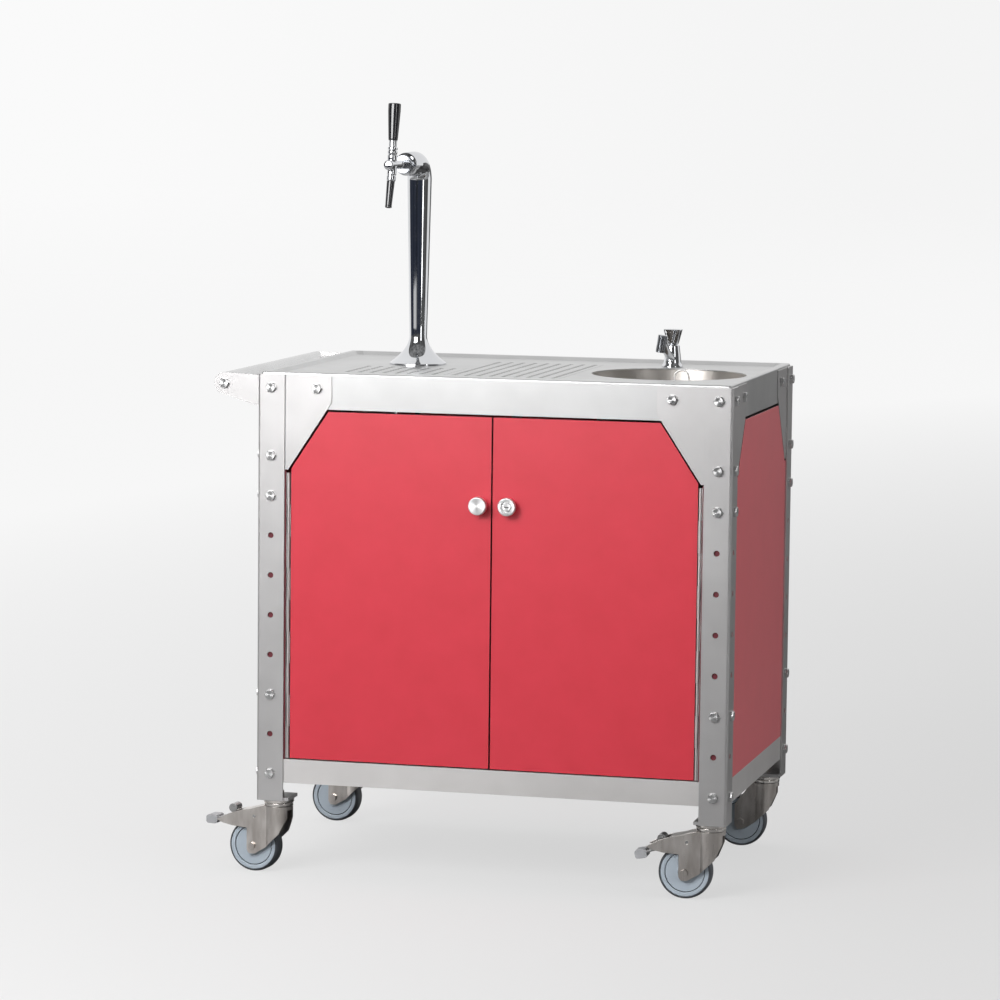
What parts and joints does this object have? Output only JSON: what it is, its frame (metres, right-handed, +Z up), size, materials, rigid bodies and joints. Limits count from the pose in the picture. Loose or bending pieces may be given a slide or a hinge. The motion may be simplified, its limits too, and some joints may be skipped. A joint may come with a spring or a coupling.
{
  "type": "mobile draft beer dispenser",
  "caption": "Bar cart on swivel casters: bolted steel frame, laminate doors and panels, a top with drip grids, sink and faucet, and a chrome column with a beer tap.",
  "frame": {"origin": "on the floor under the middle of the whole cart, its push handle and casters included", "axes": "+X to the right as seen from the doors, +Y to the back, +Z up"},
  "size_m": [1.0162, 0.6224, 1.4476],
  "materials": {
    "stainless_frame": "satin, ground along the sheet",
    "stainless_top": "satin, ground along the sheet",
    "stainless_sink": "brushed round the bowl",
    "fastener_steel": "bright",
    "red_laminate": "matt laminate, dark core",
    "chrome_plate": "mirror bright",
    "black_grip": "polished",
    "caster_steel": "pressed and polished",
    "wheel_core": "moulded",
    "wheel_tread": "moulded rubber",
    "pedal_metal": "satin",
    "knob_steel": "turned",
    "cooler_case": "coated",
    "canister_plastic": "natural polyethylene",
    "tube_plastic": "food-grade tube"
  },
  "bodies": {
    "cabinet": {"beer_column": "chrome_plate", "beer_cooler": "cooler_case", "beer_line": "tube_plastic", "bottom_tray": "stainless_frame", "caster_heads": "caster_steel", "corner_gussets": "stainless_frame", "door_posts": "red_laminate", "drain_lines": "tube_plastic", "drip_grid_front": "stainless_top", "drip_grid_right": "stainless_top", "drip_pan": "stainless_top", "faucet_aerator": "chrome_plate", "faucet_body": "chrome_plate", "frame_bolts": "fastener_steel", "fresh_water_canister": "canister_plastic", "handle_brackets": "stainless_frame", "hinge_frame_leaves": "stainless_frame", "hinge_pins": "fastener_steel", "leg_front_left": "stainless_frame", "leg_front_right": "stainless_frame", "leg_rear_left": "stainless_frame", "leg_rear_right": "stainless_frame", "push_handle": "stainless_frame", "rear_panel": "red_laminate", "side_panel_left": "red_laminate", "side_panel_right": "red_laminate", "sink_bowl": "stainless_sink", "sink_drain": "stainless_sink", "tap_body": "chrome_plate", "tap_collar": "chrome_plate", "tap_nozzle": "black_grip", "waste_water_canister": "canister_plastic", "water_line": "tube_plastic", "worktop": "stainless_top"},
    "left_door": {"door_left": "red_laminate", "hinge_door_leaf_left": "stainless_frame", "door_knob": "knob_steel"},
    "right_door": {"door_right": "red_laminate", "hinge_door_leaf_right": "stainless_frame", "lock_rose": "knob_steel"},
    "lock": {"lock_knob": "knob_steel", "lock_cam": "fastener_steel"},
    "tap_handle": {"tap_lever": "chrome_plate", "tap_grip": "black_grip"},
    "faucet_lever": {"faucet_handle": "chrome_plate"},
    "overflow_plug": {"standpipe": "stainless_sink"},
    "left_brake": {"brake_pedal_left": "pedal_metal"},
    "right_brake": {"brake_pedal_right": "pedal_metal"},
    "swivel_front_left": {"caster_fork_front_left": "caster_steel"},
    "wheel_front_left": {"wheel_hub_front_left": "wheel_core", "wheel_tyre_front_left": "wheel_tread"},
    "swivel_front_right": {"caster_fork_front_right": "caster_steel"},
    "wheel_front_right": {"wheel_hub_front_right": "wheel_core", "wheel_tyre_front_right": "wheel_tread"},
    "swivel_rear_left": {"caster_fork_rear_left": "caster_steel"},
    "wheel_rear_left": {"wheel_hub_rear_left": "wheel_core", "wheel_tyre_rear_left": "wheel_tread"},
    "swivel_rear_right": {"caster_fork_rear_right": "caster_steel"},
    "wheel_rear_right": {"wheel_hub_rear_right": "wheel_core", "wheel_tyre_rear_right": "wheel_tread"}
  },
  "joints": [
    {"name": "left_door_hinge", "type": "hinge", "parent": "cabinet", "child": "left_door", "pos_m": [-0.33925, -0.2892, 0.715], "axis": [0, 0, -1], "range_deg": [0, 130]},
    {"name": "right_door_hinge", "type": "hinge", "parent": "cabinet", "child": "right_door", "pos_m": [0.44274, -0.2892, 0.715], "axis": [0, 0, 1], "range_deg": [0, 130]},
    {"name": "lock_turn", "type": "hinge", "parent": "right_door", "child": "lock", "pos_m": [0.08374, -0.2892, 0.715], "axis": [0, 1, 0], "range_deg": [0, 90]},
    {"name": "tap_lever_tilt", "type": "hinge", "parent": "cabinet", "child": "tap_handle", "pos_m": [-0.20507, -0.07464, 1.355], "axis": [0.9962, -0.0872, 0], "range_deg": [-8, 45]},
    {"name": "faucet_turn", "type": "hinge", "parent": "cabinet", "child": "faucet_lever", "pos_m": [0.28575, 0.1888, 0.988], "axis": [0, 0, 1], "range_deg": [0, 90]},
    {"name": "plug_lift", "type": "slide", "parent": "cabinet", "child": "overflow_plug", "axis": [0, 0, 1], "range_m": [0, 0.06]},
    {"name": "swivel_turn_front_left", "type": "hinge", "parent": "cabinet", "child": "swivel_front_left", "pos_m": [-0.36425, -0.2612, 0.128], "axis": [0, 0, 1], "continuous": true},
    {"name": "wheel_spin_front_left", "type": "hinge", "parent": "swivel_front_left", "child": "wheel_front_left", "pos_m": [-0.41, -0.25639, 0.05], "axis": [0.1045, 0.9945, 0], "continuous": true},
    {"name": "swivel_turn_front_right", "type": "hinge", "parent": "cabinet", "child": "swivel_front_right", "pos_m": [0.46775, -0.2612, 0.128], "axis": [0, 0, 1], "continuous": true},
    {"name": "wheel_spin_front_right", "type": "hinge", "parent": "swivel_front_right", "child": "wheel_front_right", "pos_m": [0.42177, -0.26281, 0.05], "axis": [-0.0349, 0.9994, 0], "continuous": true},
    {"name": "swivel_turn_rear_left", "type": "hinge", "parent": "cabinet", "child": "swivel_rear_left", "pos_m": [-0.36425, 0.2708, 0.128], "axis": [0, 0, 1], "continuous": true},
    {"name": "wheel_spin_rear_left", "type": "hinge", "parent": "swivel_rear_left", "child": "wheel_rear_left", "pos_m": [-0.41008, 0.27481, 0.05], "axis": [0.0872, 0.9962, 0], "continuous": true},
    {"name": "swivel_turn_rear_right", "type": "hinge", "parent": "cabinet", "child": "swivel_rear_right", "pos_m": [0.46775, 0.2708, 0.128], "axis": [0, 0, 1], "continuous": true},
    {"name": "wheel_spin_rear_right", "type": "hinge", "parent": "swivel_rear_right", "child": "wheel_rear_right", "pos_m": [0.42181, 0.26839, 0.05], "axis": [-0.0523, 0.9986, 0], "continuous": true},
    {"name": "left_brake_press", "type": "hinge", "parent": "swivel_front_left", "child": "left_brake", "pos_m": [-0.40603, -0.25681, 0.107], "axis": [0.1045, 0.9945, 0], "range_deg": [-9, 0]},
    {"name": "right_brake_press", "type": "hinge", "parent": "swivel_front_right", "child": "right_brake", "pos_m": [0.42577, -0.26267, 0.107], "axis": [-0.0349, 0.9994, 0], "range_deg": [0, 9]}
  ]
}
